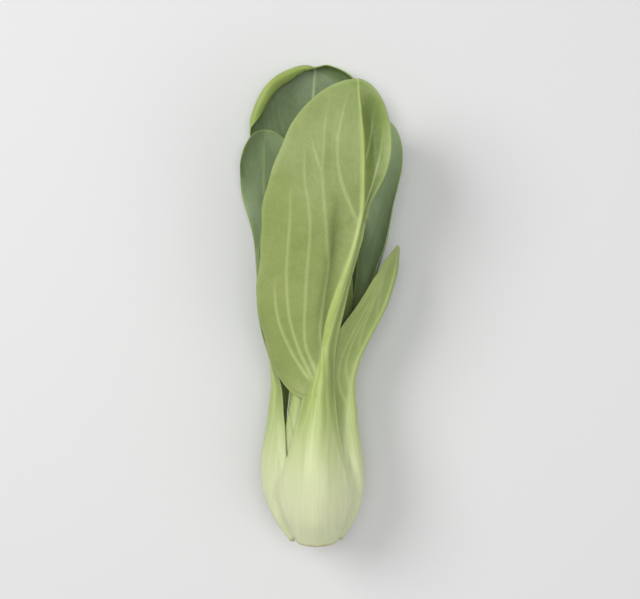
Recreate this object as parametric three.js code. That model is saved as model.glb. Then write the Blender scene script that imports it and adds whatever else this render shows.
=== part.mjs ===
// Baby bok choy: one small head, lying on its side.
//
// The head's axis runs along +Y, from the cut stem to the leaf tips, and +Z is up. Every leaf is one
// closed shell, stalk and blade together. It lies on a layer: a closed tube round the axis, wide at the
// bulb, narrow at the waist and flattened where the blades are. Layers nest inside one another, so the
// leaves wrap each other as they do on the plant and never cross.
//
// Units are millimetres and, for angles round the axis, degrees: 0 points to +X and 90 points up.

import * as THREE from "three";

// The cut stem: a low cone that the leaves grow round, the outer ones from low down and the inner ones
// crowded at its top.
const stem = { length: 15, cutRadius: 8, topRadius: 1.6, bevel: 0.8, sides: 28 };
const footholds = { lowest: 0.5, highest: 15.4, crowding: 1.65 };

// Half width and half height of the outermost and innermost layers, and the height of the axis over
// the surface that the head lies on, at stations along the axis.
const outerWidth = [
  [0, 9], [12, 16], [27, 19.4], [48, 16.5], [66, 17], [95, 35], [130, 48], [165, 53], [205, 56],
];
const outerHeight = [
  [0, 9], [12, 15.4], [27, 18.2], [48, 15], [66, 13.8], [95, 20], [130, 25], [165, 28.5], [205, 30],
];
const innerWidth = [[0, 2], [27, 2.2], [68, 2.2], [95, 3.5], [130, 7], [205, 14]];
const innerHeight = [[0, 2], [27, 2.2], [68, 2.1], [95, 2.8], [130, 4.5], [205, 8]];
const axisHeight = [[0, 21], [30, 21], [70, 21.6], [100, 22.6], [130, 25], [165, 28.9], [205, 31.2]];

// Slow waves that all blades share and that grow along the head: heights, and for each axis the length
// over which a wave turns by one radian. The rim's wave is at its full height this far from the middle.
const rippleStretch = [80, 130];
const swell = { height: 1.8, alongY: 17, alongX: 11, shift: 1 };
const rimWave = { height: 1.5, alongY: 7, alongX: 20, full: 30 };
const sway = { width: 1.5, alongY: 21, alongZ: 14 };

// A finer wave in the outlines of the blades, as a share of their width.
const scallop = { depth: 0.014, length: 6 };

// The stalk, at stations along a leaf whose stalk ends at 66: half width as a share of the widest, and
// how high and how wide its rounded back is. Past 66 the back runs on as the midrib of the blade.
const stalkHalfWidth = 15.5;
const stalkWidths = [[0, 0.54], [9, 0.82], [20, 1], [42, 0.62], [60, 0.4], [80, 0.32]];
const backHeights = [[0, 1.6], [14, 3.8], [30, 4.6], [58, 4], [75, 3], [100, 1.5], [140, 0.7], [190, 0.1]];
const backWidths = [[0, 6], [18, 8.5], [42, 6], [62, 3.4], [80, 3], [120, 2.2], [190, 1.5]];
const heartScale = 0.42; // size of the innermost stalk, against the outermost one
const stalkStation = 66;
const stalkFade = 45; // how far into the blade the stalk's half width takes to fade out

const bladeThickness = 0.8;
const stalkEdgeThickness = 1.1;
const edgeStations = [40, 80]; // where the edge thins from the stalk's thickness to the blade's
const leastThickness = 0.62;
const leastHalfWidth = 2.6; // of the outermost leaf, where its blade is cut away beside the midrib

// A leaf under others is no thicker than the room that they leave it, less a gap. Past its edge, a
// covering leaf counts in full up to the margin and no longer at the end of the fade.
const coverGap = 0.5;
const coverMargin = 3;
const coverFade = 7.5;
const ampleRoom = 9;

// The blade's outline is a power of a sine: slender at its base and round from this share of it on.
const slenderPower = 1.7;
const roundPower = 0.5;
const roundFrom = 0.6;

const turnStretch = [25, 125]; // how far along itself a leaf turns from its foot's angle to its aim

// The tip nods over the last share of the leaf. The rim that rolls in is this wide, and does so along a
// stretch given in shares of the leaf. A blade hollows where it is wide enough.
const nodShare = 0.28;
const rimWidth = 9;
const rollStretch = [0.83, 0.93];
const hollowWidths = [8, 15];
const hollowRise = 20;

const bladeStart = 14; // how far before the end of its stalk a blade starts

// Grids: quads across a leaf and along it, how far the columns crowd at the midrib, the share of the
// blade that the bowed tip rows span, and from where on, and how sharply, the rows bow.
const columns = 10;
const rows = 26;
const columnCrowding = 0.2;
const tipRows = 0.14;
const bowFrom = 0.45;
const bowPower = 1.5;

// Each leaf, from the outermost in. foot and aim: the angles of its stalk at the bulb and of its blade.
// For its two sides, towards smaller and larger angles: half width of the blade, how far along the leaf
// the blade starts, how far along the blade it is widest, as a share, and the outline's power at its
// base. nod: how far the tip bends inwards. roll: how far the rim rolls in at the top. trough: how deep
// one side of the blade hollows.
const leaves = [
  { name: "leaf_front", foot: 92, aim: 72, length: 175, stalk: 60,
    sides: [12, 36.5], start: [123, 56], widest: [0.62, 0.57], base: [0.6, 0.5], nod: 5, trough: 4 },
  { name: "leaf_back", foot: -82, aim: -92, length: 187, stalk: 68,
    sides: [25.5, 31], widest: [0.84, 0.7], roll: 5 },
  { name: "leaf_left", foot: 174, aim: 243, length: 160, stalk: 62,
    sides: [10.5, 19], widest: [0.86, 0.7], base: [0.9, 1.7], roll: 2 },
  { name: "leaf_right_short", foot: 34, aim: 14, length: 113, stalk: 50,
    sides: [12, 14], widest: [0.5, 0.55], nod: 2 },
  { name: "leaf_under", foot: -116, aim: -80, length: 162, stalk: 66,
    sides: [20, 20], widest: [0.6, 0.6] },
  { name: "leaf_upper_left", foot: 132, aim: 92, length: 140, stalk: 60,
    sides: [16, 13], widest: [0.6, 0.6], nod: 2 },
  { name: "leaf_right", foot: -18, aim: -45, length: 160, stalk: 56,
    sides: [18, 16], widest: [0.6, 0.66] },
  { name: "leaf_lower_left", foot: -152, aim: -114, length: 134, stalk: 60,
    sides: [13, 16], widest: [0.6, 0.6] },
  { name: "leaf_inner_top", foot: 70, aim: 90, length: 132, stalk: 56,
    sides: [13, 15], widest: [0.6, 0.6], nod: 2 },
  { name: "leaf_inner_under", foot: -68, aim: -74, length: 130, stalk: 54,
    sides: [14, 14], widest: [0.6, 0.6] },
  { name: "leaf_inner_left", foot: 155, aim: 150, length: 118, stalk: 50,
    sides: [11, 11], widest: [0.6, 0.6] },
  { name: "heart_leaf_1", foot: 18, aim: 18, length: 102, stalk: 46,
    sides: [8, 8], widest: [0.5, 0.5], rows: 20 },
  { name: "heart_leaf_2", foot: -120, aim: -120, length: 84, stalk: 42,
    sides: [5.5, 5.5], widest: [0.5, 0.5], rows: 18 },
  { name: "heart_leaf_3", foot: 102, aim: 102, length: 68, stalk: 38,
    sides: [3.5, 3.5], widest: [0.5, 0.5], rows: 16 },
];

// Pale stalks and midribs, and green blades. The stalk turns green between these stations, and the
// sooner the farther a place is from the midrib.
const palette = {
  stalk: new THREE.Color(0xc9d49a),
  bladeOutside: new THREE.Color(0x86a253),
  bladeInside: new THREE.Color(0x54793a),
  cut: new THREE.Color(0xe3e4cb),
};
const greenStations = [35, 85];
const greenSideways = 1.5;

const clamp01 = (x) => Math.min(1, Math.max(0, x));
const mix = (a, b, t) => a + (b - a) * t;
const smooth = (a, b, x) => {
  const t = clamp01((x - a) / (b - a));
  return t * t * (3 - 2 * t);
};
const radians = (degrees) => (degrees * Math.PI) / 180;

// What follows from a leaf's place in the list: its layer, from 1, the outermost, to 0, and its size.
leaves.forEach((leaf, i) => {
  leaf.layer = 1 - i / (leaves.length - 1);
  leaf.foothold = mix(footholds.lowest, footholds.highest, (1 - leaf.layer) ** footholds.crowding);
  leaf.scale = heartScale + (1 - heartScale) * leaf.layer;
  leaf.start ??= [leaf.stalk - bladeStart, leaf.stalk - bladeStart];
  leaf.base ??= [slenderPower, slenderPower];
  leaf.nod ??= 0;
  leaf.roll ??= 0;
  leaf.trough ??= 0;
});

// A smooth curve through a list of [position, value] stations, cubic between neighbours.
function through(stations, x) {
  const last = stations.length - 1;
  if (x <= stations[0][0]) return stations[0][1];
  if (x >= stations[last][0]) return stations[last][1];
  let i = 0;
  while (x > stations[i + 1][0]) i += 1;
  const slope = (j) => {
    const before = stations[Math.max(0, j - 1)];
    const after = stations[Math.min(last, j + 1)];
    return (after[1] - before[1]) / (after[0] - before[0]);
  };
  const [x0, v0] = stations[i];
  const [x1, v1] = stations[i + 1];
  const h = x1 - x0;
  const t = (x - x0) / h;
  const ease = t * t * (3 - 2 * t);
  return mix(v0, v1, ease) + h * t * (1 - t) * ((1 - t) * slope(i) - t * slope(i + 1));
}

// Half width and half height of a layer this far along the axis.
function layerSize(layer, y) {
  return {
    a: mix(through(innerWidth, y), through(outerWidth, y), layer),
    b: mix(through(innerHeight, y), through(outerHeight, y), layer),
  };
}

// A distance along the leaf, stretched so that its stalk ends at the last stalk station.
const station = (leaf, along) => (along / leaf.stalk) * stalkStation;

// Half width of the stalk, which fades out in the blade.
function stalkEdge(leaf, along) {
  const fade = 1 - smooth(leaf.stalk, leaf.stalk + stalkFade, along);
  return through(stalkWidths, station(leaf, along)) * stalkHalfWidth * leaf.scale * fade;
}

// A share of the blade's length as a turn round its outline: half a turn is the widest place.
const turnAt = (leaf, side, share) => share ** (Math.log(0.5) / Math.log(leaf.widest[side]));

// The blade's outline on one side, from its base at turn 0 to its tip at turn 1.
function bladeOutline(leaf, side, turn) {
  const share = turn ** (Math.log(leaf.widest[side]) / Math.log(0.5));
  const power = mix(leaf.base[side], roundPower, smooth(0, roundFrom, share));
  return {
    along: mix(leaf.start[side], leaf.length, share),
    width: leaf.sides[side] * Math.sin(Math.PI * clamp01(turn)) ** power,
  };
}

// Half width of the whole leaf on one side, at a distance along it: never quite nothing.
function halfWidth(leaf, side, along) {
  const share = clamp01((along - leaf.start[side]) / (leaf.length - leaf.start[side]));
  const blade = bladeOutline(leaf, side, turnAt(leaf, side, share)).width;
  const waved = 1 + scallop.depth * Math.sin(along / scallop.length + side + leaf.foot);
  const width = stalkEdge(leaf, along) + blade * waved;
  const least = leastHalfWidth * leaf.scale;
  return width + least * Math.exp(-((width / least) ** 2));
}

// The flat leaf: the distances across and along it of a place on its grid. u runs from -1 to 1 across
// and s from 0 to 1 along. Rows bow towards the tip, so the last row is the outline of the tip.
function flatLeaf(leaf, u, s) {
  const side = u < 0 ? 0 : 1;
  const shoulder = mix(leaf.length, leaf.start[1], tipRows);
  const start = leaf.start[side];
  const endTurn = turnAt(leaf, side, (shoulder - start) / (leaf.length - start));
  const end = bladeOutline(leaf, side, endTurn);
  const tip = bladeOutline(leaf, side, 1 - (1 - endTurn) * u * u);
  const bow = ((tip.along - shoulder) / (leaf.length - shoulder)) * smooth(bowFrom, 1, s) ** bowPower;
  const along = shoulder * s;
  return {
    across: ((Math.sign(u) * tip.width) / end.width) * halfWidth(leaf, side, along),
    along: along + (leaf.length - shoulder) * bow,
  };
}

// The angle of the leaf's midrib round the axis.
function centreAngle(leaf, along) {
  return radians(mix(leaf.foot, leaf.aim, smooth(...turnStretch, along)));
}

// Length on a layer for each radian round the axis, at an angle.
const lengthPerRadian = ({ a, b }, angle) => Math.hypot(a * Math.sin(angle), b * Math.cos(angle));

// Where a place on the flat leaf comes round the axis and along it.
function wrap(leaf, across, along) {
  const y = leaf.foothold + along;
  const size = layerSize(leaf.layer, y);
  const centre = centreAngle(leaf, along);
  const halfWay = centre + across / 2 / lengthPerRadian(size, centre);
  return { angle: centre + across / lengthPerRadian(size, halfWay), y };
}

// How far a place on the head lies outside a leaf's outline, and below 0 inside it.
function pastEdge(leaf, angle, y) {
  const along = y - leaf.foothold;
  const centre = centreAngle(leaf, along);
  const turn = Math.atan2(Math.sin(angle - centre), Math.cos(angle - centre));
  const across = Math.abs(turn) * lengthPerRadian(layerSize(leaf.layer, y), centre + turn / 2);
  const reach = halfWidth(leaf, turn < 0 ? 0 : 1, Math.min(leaf.length, Math.max(0, along)));
  return Math.max(across - reach, -along, along - leaf.length);
}

// The room between a leaf's layer and the leaves that lie over this place.
function roomOutside(leaf, angle, y) {
  const outer = layerSize(1, y);
  const inner = layerSize(0, y);
  const stack = Math.hypot((outer.a - inner.a) * Math.cos(angle), (outer.b - inner.b) * Math.sin(angle));
  const slope = (through(outerWidth, y + 1) - through(outerWidth, y - 1)) / 2;
  const covers = leaves.filter((cover) => cover.layer > leaf.layer);
  return covers.reduce((room, cover) => {
    const gap = ((cover.layer - leaf.layer) * stack) / Math.hypot(1, slope) - coverGap;
    const open = smooth(coverMargin, coverFade, pastEdge(cover, angle, y));
    return Math.min(room, mix(gap, ampleRoom, open));
  }, ampleRoom);
}

// Thickness of the leaf: a thick stalk that runs on as the midrib of a thin blade.
function thickness(leaf, across, along) {
  const at = station(leaf, along);
  const edge = mix(stalkEdgeThickness, bladeThickness, smooth(...edgeStations, at));
  const spread = leaf.scale * through(backWidths, at);
  const back = leaf.scale * through(backHeights, at) * Math.exp(-((across / spread) ** 2));
  const { angle, y } = wrap(leaf, across, along);
  return Math.max(leastThickness, Math.min(edge + back, roomOutside(leaf, angle, y)));
}

// How far a place on the leaf bends inwards: the tip nods, the rim at the top rolls in, and the side
// towards smaller angles may hollow.
function bend(leaf, across, along) {
  const half = halfWidth(leaf, across < 0 ? 0 : 1, Math.min(along, leaf.length));
  const tip = clamp01((along / leaf.length - 1) / nodShare + 1);
  const rim = clamp01(1 - (half - Math.abs(across)) / rimWidth);
  const bowl = across < 0 ? Math.sin(Math.PI * clamp01(-across / half)) : 0;
  const hollow = bowl * smooth(...hollowWidths, half);
  return leaf.nod * tip * tip
    + leaf.roll * rim * rim * smooth(...rollStretch, along / leaf.length)
    + leaf.trough * hollow * smooth(leaf.start[0], leaf.start[0] + hollowRise, along);
}

// The leaf's inner face in space: the flat leaf wrapped on its layer, and nowhere below the surface
// that the head lies on.
function innerFace(leaf, across, along) {
  const { angle, y } = wrap(leaf, across, along);
  const { a, b } = layerSize(leaf.layer, y);
  const inwards = bend(leaf, across, along) / Math.hypot(b * Math.cos(angle), a * Math.sin(angle));
  const x = Math.cos(angle) * (a - inwards * b);
  const z = Math.sin(angle) * (b - inwards * a);
  const wave = smooth(...rippleStretch, y);
  const upwards = swell.height * Math.sin(y / swell.alongY + x / swell.alongX + swell.shift)
    + rimWave.height * (x / rimWave.full) ** 2 * Math.sin(y / rimWave.alongY + x / rimWave.alongX);
  const sideways = sway.width * Math.sin(y / sway.alongY + z / sway.alongZ);
  const height = through(axisHeight, y) + z + wave * upwards;
  return new THREE.Vector3(x + wave * sideways, y, Math.max(height, bladeThickness));
}

// The outer face: the inner one thickened outwards, and flat where the head rests on it.
function outerFace(leaf, across, along) {
  const step = 0.2; // either way, to find the face's direction
  const point = innerFace(leaf, across, along);
  const aside = innerFace(leaf, across + step, along).sub(innerFace(leaf, across - step, along));
  const ahead = innerFace(leaf, across, along + step).sub(innerFace(leaf, across, along - step));
  point.addScaledVector(ahead.cross(aside).normalize(), thickness(leaf, across, along));
  point.z = Math.max(point.z, 0);
  return point;
}

// The colour of a place on the leaf: pale on the stalk and midrib, green on the blade.
function tint(leaf, across, along, blade) {
  const green = smooth(...greenStations, station(leaf, along) + Math.abs(across) * greenSideways);
  return palette.stalk.clone().lerp(blade, green);
}

// A closed shell of two grids, joined round the rim. Both grids are split along the same diagonals.
function leafGeometry(leaf) {
  const along = leaf.rows ?? rows;
  const rowLength = columns + 1;
  const positions = [];
  const colors = [];
  const faces = [];
  const sheets = [[innerFace, palette.bladeInside], [outerFace, palette.bladeOutside]];
  for (const [face, blade] of sheets) {
    for (let j = 0; j <= along; j += 1) {
      for (let i = 0; i <= columns; i += 1) {
        const k = (2 * i) / columns - 1;
        const flat = flatLeaf(leaf, k * Math.abs(k) ** columnCrowding, j / along);
        positions.push(...face(leaf, flat.across, flat.along).toArray());
        colors.push(...tint(leaf, flat.across, flat.along, blade).toArray());
      }
    }
  }
  const outside = rowLength * (along + 1);
  for (let j = 0; j < along; j += 1) {
    for (let i = 0; i < columns; i += 1) {
      const a = j * rowLength + i;
      const b = a + 1;
      const c = b + rowLength;
      const d = a + rowLength;
      faces.push(a, b, c, a, c, d);
      faces.push(outside + a, outside + c, outside + b, outside + a, outside + d, outside + c);
    }
  }
  const rim = [];
  for (let i = 0; i < columns; i += 1) rim.push(i);
  for (let j = 0; j < along; j += 1) rim.push(j * rowLength + columns);
  for (let i = columns; i > 0; i -= 1) rim.push(along * rowLength + i);
  for (let j = along; j > 0; j -= 1) rim.push(j * rowLength);
  rim.forEach((a, n) => {
    const b = rim[(n + 1) % rim.length];
    faces.push(b, a, a + outside, b, a + outside, b + outside);
  });
  const geometry = new THREE.BufferGeometry();
  geometry.setAttribute("position", new THREE.Float32BufferAttribute(positions, 3));
  geometry.setAttribute("color", new THREE.Float32BufferAttribute(colors, 3));
  geometry.setIndex(faces);
  geometry.computeVertexNormals();
  return geometry;
}

function stemGeometry() {
  const profile = [
    [0, 0],
    [stem.cutRadius - stem.bevel, 0],
    [stem.cutRadius, stem.bevel],
    [stem.topRadius, stem.length],
    [0, stem.length + stem.topRadius / 2],
  ].map(([radius, height]) => new THREE.Vector2(radius, height));
  return new THREE.LatheGeometry(profile, stem.sides);
}

// The head, from its cut end at y = 0, on the surface z = 0.
const head = new THREE.Group();
for (const leaf of leaves) {
  const material = new THREE.MeshStandardMaterial({
    vertexColors: true,
    roughness: 0.5,
    metalness: 0,
    side: THREE.DoubleSide,
  });
  const mesh = new THREE.Mesh(leafGeometry(leaf), material);
  mesh.name = leaf.name;
  head.add(mesh);
}
const stemMaterial = new THREE.MeshStandardMaterial({ color: palette.cut, roughness: 0.6, metalness: 0 });
const stemMesh = new THREE.Mesh(stemGeometry(), stemMaterial);
stemMesh.name = "stem";
stemMesh.position.z = axisHeight[0][1];
head.add(stemMesh);

// The part's origin is under the middle of the head.
const middle = new THREE.Box3().setFromObject(head).getCenter(new THREE.Vector3());
head.position.set(-middle.x, -middle.y, 0);

const bokChoy = new THREE.Group();
bokChoy.add(head);

export default bokChoy;
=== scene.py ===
import bpy
import numpy as np
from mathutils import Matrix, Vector


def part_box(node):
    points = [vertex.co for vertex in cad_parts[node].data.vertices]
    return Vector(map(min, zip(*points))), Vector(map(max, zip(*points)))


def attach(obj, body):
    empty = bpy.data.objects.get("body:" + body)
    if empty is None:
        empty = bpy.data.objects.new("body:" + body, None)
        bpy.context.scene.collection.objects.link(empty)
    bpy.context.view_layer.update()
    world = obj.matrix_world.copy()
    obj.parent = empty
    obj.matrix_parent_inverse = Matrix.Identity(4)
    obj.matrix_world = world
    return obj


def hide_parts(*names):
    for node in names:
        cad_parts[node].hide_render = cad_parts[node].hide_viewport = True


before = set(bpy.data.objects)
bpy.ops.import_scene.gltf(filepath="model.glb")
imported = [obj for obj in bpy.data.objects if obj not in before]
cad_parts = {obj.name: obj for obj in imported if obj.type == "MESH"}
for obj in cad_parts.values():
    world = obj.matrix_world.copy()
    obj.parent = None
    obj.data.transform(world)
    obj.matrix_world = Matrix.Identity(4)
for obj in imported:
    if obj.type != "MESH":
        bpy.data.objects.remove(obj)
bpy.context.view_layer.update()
print("frame: %d nodes" % len(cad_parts))

mm = 0.001
tiny = 1e-6  # keeps divisions away from nothing

# The head's axis and cut end, in the part's frame, in mm. Leaf shapes are measured from there, with x
# across the head, y along it and z up from the floor.
stemLow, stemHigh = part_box("stem")
headX = (stemLow.x + stemHigh.x) / 2 / mm
headY = stemLow.y / mm

# Layers that the leaves lie on, the same as the solids': (distance along the head, value) stations of the
# half width and half height of the outermost and innermost layer and of the height of their axis, and the
# slow waves that all blades share. waves: where these set in and are full. alongX, alongY and alongZ:
# length over which a wave turns by a radian. shift: where the swell starts, in radians. full: distance
# from the axis at which the rim wave has its height.
head = dict(
    outerWidth=[(0, 9), (12, 16), (27, 19.4), (48, 16.5), (66, 17), (95, 35), (130, 48), (165, 53),
                (205, 56)],
    outerHeight=[(0, 9), (12, 15.4), (27, 18.2), (48, 15), (66, 13.8), (95, 20), (130, 25), (165, 28.5),
                 (205, 30)],
    innerWidth=[(0, 2), (27, 2.2), (68, 2.2), (95, 3.5), (130, 7), (205, 14)],
    innerHeight=[(0, 2), (27, 2.2), (68, 2.1), (95, 2.8), (130, 4.5), (205, 8)],
    axisHeight=[(0, 21), (30, 21), (70, 21.6), (100, 22.6), (130, 25), (165, 28.9), (205, 31.2)],
    waves=(80, 130),
    swell=dict(height=1.8, alongY=17, alongX=11, shift=1),
    rimWave=dict(height=1.5, alongY=7, alongX=20, full=30),
    sway=dict(width=1.5, alongY=21, alongZ=14),
)

# Stalks, at stations along a leaf whose stalk ends at endStation: half width as a share of the widest,
# height and width of the rounded back, and half width of the pale midrib that it runs on as. fade: length
# past its end over which a stalk's width goes. heartScale: size of the innermost leaf's stalk. edge:
# thickness at its edges, which goes over to the blade's between the stations of thinning.
stalks = dict(
    halfWidth=15.5, endStation=66, fade=45, heartScale=0.42, edge=1.1, thinning=(40, 80),
    widths=[(0, 0.54), (9, 0.82), (20, 1), (42, 0.62), (60, 0.4), (80, 0.32)],
    backHeights=[(0, 1.6), (14, 3.8), (30, 4.6), (58, 4), (75, 3), (100, 1.5), (140, 0.7), (190, 0.1)],
    backWidths=[(0, 6), (18, 8.5), (42, 6), (62, 3.4), (80, 3), (120, 2.2), (190, 1.5)],
    ribWidths=[(0, 17), (20, 17), (42, 10), (58, 5.2), (75, 2.6), (100, 1.7), (140, 1), (190, 0.45)],
)

# Blades: thickness, the least anywhere and the share left at the rim; how long before the stalk's end most
# of them start; the outline's power at the tip and from where it holds; where and how rows bow to the tip;
# waves of the outline; and where a blade turns to its aim, nods, rolls its rim in and sinks in a trough.
blades = dict(
    thickness=0.8, least=0.62, rimThickness=0.5, leastHalfWidth=2.6, startBefore=14,
    round=0.5, roundFrom=0.6, bowFrom=0.45, bowPower=1.5,
    scallopDepth=0.014, scallopLength=6, fineDepth=0.006, fineLength=2.3, fineShift=2,
    turning=(25, 125), nodShare=0.28, rimWidth=9, roll=(0.83, 0.93), hollowWidths=(8, 15), hollowRise=20,
)

# Room under a covering leaf: gap kept to it, how far past its edge it counts in full and at all, and room
# where nothing covers.
covers = dict(gap=0.5, margin=3, fade=7.5, ample=9)

# Side veins of the front leaf on either side, and its furrows, by (along, across) stations. The furrows
# sink the blade and also carry painted shade.
frontVeins = (
    [[(124, 0), (136, 4), (150, 8.4), (160, 10)],
     [(143, 0), (154, 4), (166, 7)]],
    [[(60, 1), (66, 6.5), (80, 17), (90, 22.5), (104, 27)],
     [(60, 1), (66, 4.6), (85, 15.6), (104, 22.3), (120, 25.5), (138, 27)],
     [(60, 0.5), (66, 2.4), (78, 8.3), (93, 12.1), (105, 14.8), (125, 18.8), (139, 21.6), (154, 21)],
     [(64, 0), (75, 2.4), (82, 4.1), (95, 5.9), (107, 7.8), (114, 10.3), (123, 12.7), (133, 14.4), (142, 15),
      (149, 14.4), (161, 12.9), (170, 10)],
     [(120, 0), (129, 4.4), (136, 7.4), (142, 8.8), (149, 9.2), (155, 8.4), (161, 6.8), (167, 5),
      (173, 2.8)],
     [(139, 14.9), (149, 17.8), (158, 19.6)]],
)
frontFolds = [
    dict(line=[(75, 1.4), (95, 4.4), (107, 6), (124, 8.5)], width=2.6, depth=1.6, ends=(64, 140)),
    dict(line=[(126, -3), (140, -5.2), (160, -5.2), (175, -3)], width=3.4, depth=2, ends=(118, 184)),
]

# Leaves, from the outermost in. foot, aim: angles of the stalk at the bulb and of the blade, 90 pointing
# up. sides, start, widest, base: for the side of smaller and of larger angles, half width, where the
# blade starts, share of it where it is widest, and the outline's power at the base. nod, roll, trough: how
# far its tip, rim and hollow bend inwards. laterals: number of side veins on each side, or their stations.
# curl: how the rim curls over, within a band. grid: quads across and along. tipShare: share of the blade
# that the rows bow by. usual: what holds for a leaf that doesn't say.
leaves = [
    dict(name="leaf_front", foot=92, aim=72, length=175, stalk=60, sides=(12, 36.5), start=(123, 56),
         widest=(0.62, 0.57), base=(0.6, 0.5), nod=5, trough=4, grid=(140, 300), laterals=frontVeins,
         folds=frontFolds),
    dict(name="leaf_back", foot=-82, aim=-92, length=187, stalk=68, sides=(25.5, 31), widest=(0.84, 0.7),
         roll=5, grid=(170, 220), tipShare=0.07, laterals=(6, 6),
         curl=dict(band=6.5, radius=1.7, turn=3.6, first=152, full=172, far=0.36, fading=(3, -15))),
    dict(name="leaf_left", foot=174, aim=243, length=160, stalk=62, sides=(10.5, 19), widest=(0.86, 0.7),
         base=(0.9, 1.7), roll=2, grid=(90, 160), tipShare=0.07, laterals=(4, 5)),
    dict(name="leaf_right_short", foot=34, aim=14, length=113, stalk=50, sides=(12, 14),
         widest=(0.5, 0.55), nod=2, grid=(80, 120), laterals=(4, 4)),
    dict(name="leaf_under", foot=-116, aim=-80, length=162, stalk=66, sides=(20, 20), grid=(70, 120)),
    dict(name="leaf_upper_left", foot=132, aim=92, length=140, stalk=60, sides=(16, 13), nod=2,
         grid=(80, 140)),
    dict(name="leaf_right", foot=-18, aim=-45, length=160, stalk=56, sides=(18, 16), widest=(0.6, 0.66),
         grid=(90, 150)),
    dict(name="leaf_lower_left", foot=-152, aim=-114, length=134, stalk=60, sides=(13, 16),
         grid=(70, 120)),
    dict(name="leaf_inner_top", foot=70, aim=90, length=132, stalk=56, sides=(13, 15), nod=2,
         grid=(70, 110), laterals=(4, 4)),
    dict(name="leaf_inner_under", foot=-68, aim=-74, length=130, stalk=54, sides=(14, 14),
         grid=(60, 100), laterals=(4, 4)),
    dict(name="leaf_inner_left", foot=155, aim=150, length=118, stalk=50, sides=(11, 11), grid=(60, 90),
         laterals=(4, 4)),
    dict(name="heart_leaf_1", foot=18, aim=18, length=102, stalk=46, sides=(8, 8), widest=(0.5, 0.5),
         grid=(50, 80), laterals=(3, 3)),
    dict(name="heart_leaf_2", foot=-120, aim=-120, length=84, stalk=42, sides=(5.5, 5.5),
         widest=(0.5, 0.5), grid=(44, 64), laterals=(3, 3)),
    dict(name="heart_leaf_3", foot=102, aim=102, length=68, stalk=38, sides=(3.5, 3.5),
         widest=(0.5, 0.5), grid=(36, 52), laterals=(2, 2)),
]
usual = dict(widest=(0.6, 0.6), base=(1.7, 1.7), laterals=(5, 5), tipShare=0.14, nod=0, roll=0, trough=0)
footholds = dict(lowest=0.5, highest=15.4, crowding=1.65)  # where they grow from the stem
firstSeed = 11  # of the outermost leaf's random numbers


# x, but at least 0 and at most 1.
def clamp01(x):
    return np.clip(x, 0, 1)


# From a at 0 to b at 1, in proportion.
def mix(a, b, t):
    return a + (b - a) * t


# 0 up to a, 1 from b on, and a cubic ease between.
def smooth(a, b, x):
    t = clamp01((x - a) / (b - a))
    return t * t * (3 - 2 * t)


# Bell curve: e to the minus square.
def bell(x):
    return np.exp(-x ** 2)


# Same direction, length 1.
def unit(v):
    return v / np.maximum(np.linalg.norm(v, axis=-1, keepdims=True), tiny)


# Value at x of a smooth curve through (position, value) stations: a cubic between two neighbours,
# whose slope at each is that between the stations beside it.
def through(stations, x):
    at, value = np.array(stations, float).T
    last = len(at) - 1
    before = np.maximum(np.arange(last + 1) - 1, 0)
    after = np.minimum(np.arange(last + 1) + 1, last)
    slope = (value[after] - value[before]) / (at[after] - at[before])
    x = np.clip(x, at[0], at[-1])
    i = np.clip(np.searchsorted(at, x, side="right") - 1, 0, last - 1)
    h = at[i + 1] - at[i]
    t = (x - at[i]) / h
    bulge = h * t * (1 - t) * ((1 - t) * slope[i] - t * slope[i + 1])
    return mix(value[i], value[i + 1], smooth(0, 1, t)) + bulge


# Smooth noise from 0 to 1: random values on a square lattice, blended by the same ease both ways.
def noise(x, y, seed):
    size = 64  # cells until it repeats
    table = np.random.default_rng(seed).random((size, size))
    i, j = np.floor(x).astype(int), np.floor(y).astype(int)
    tx, ty = smooth(0, 1, x - i), smooth(0, 1, y - j)
    low = mix(table[i % size, j % size], table[(i + 1) % size, j % size], tx)
    high = mix(table[i % size, (j + 1) % size], table[(i + 1) % size, (j + 1) % size], tx)
    return mix(low, high, ty)


for place, leaf in enumerate(leaves):
    leaf["layer"] = 1 - place / (len(leaves) - 1)  # from 1, the outermost, to 0
    climb = (1 - leaf["layer"]) ** footholds["crowding"]
    leaf["foothold"] = mix(footholds["lowest"], footholds["highest"], climb)
    leaf["scale"] = mix(stalks["heartScale"], 1, leaf["layer"])
    leaf["seed"] = firstSeed + place
    leaf.setdefault("start", (leaf["stalk"] - blades["startBefore"],) * 2)
    for key, value in usual.items():
        leaf.setdefault(key, value)


# Half width and half height of a layer at y: its share of the way from the innermost to the outermost.
def layerSize(layer, y):
    a = mix(through(head["innerWidth"], y), through(head["outerWidth"], y), layer)
    b = mix(through(head["innerHeight"], y), through(head["outerHeight"], y), layer)
    return a, b


# Distance along the leaf, stretched so that its stalk ends at endStation.
def station(leaf, along):
    return along / leaf["stalk"] * stalks["endStation"]


# The first of a pair on the side of smaller angles, the second on the other.
def bySide(pair, across):
    return np.where(across < 0, pair[0], pair[1])


# Half width of the stalk: its station curve, faded out over the first part of the blade.
def stalkEdge(leaf, along):
    fade = 1 - smooth(leaf["stalk"], leaf["stalk"] + stalks["fade"], along)
    return through(stalks["widths"], station(leaf, along)) * stalks["halfWidth"] * leaf["scale"] * fade


# Turn round the outline for a share of the blade's length: the power of it that gives half at the widest.
def turnAt(leaf, across, share):
    return share ** (np.log(0.5) / np.log(bySide(leaf["widest"], across)))


# Blade outline at a turn from 0 to 1: the length grows as a power of the turn, the width is the sine of
# half a circle, to a power that goes from the base's to the round tip's.
def bladeOutline(leaf, across, turn):
    share = turn ** (np.log(bySide(leaf["widest"], across)) / np.log(0.5))
    power = mix(bySide(leaf["base"], across), blades["round"], smooth(0, blades["roundFrom"], share))
    along = mix(bySide(leaf["start"], across), leaf["length"], share)
    width = bySide(leaf["sides"], across) * np.sin(np.pi * clamp01(turn)) ** power
    return along, width


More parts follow.
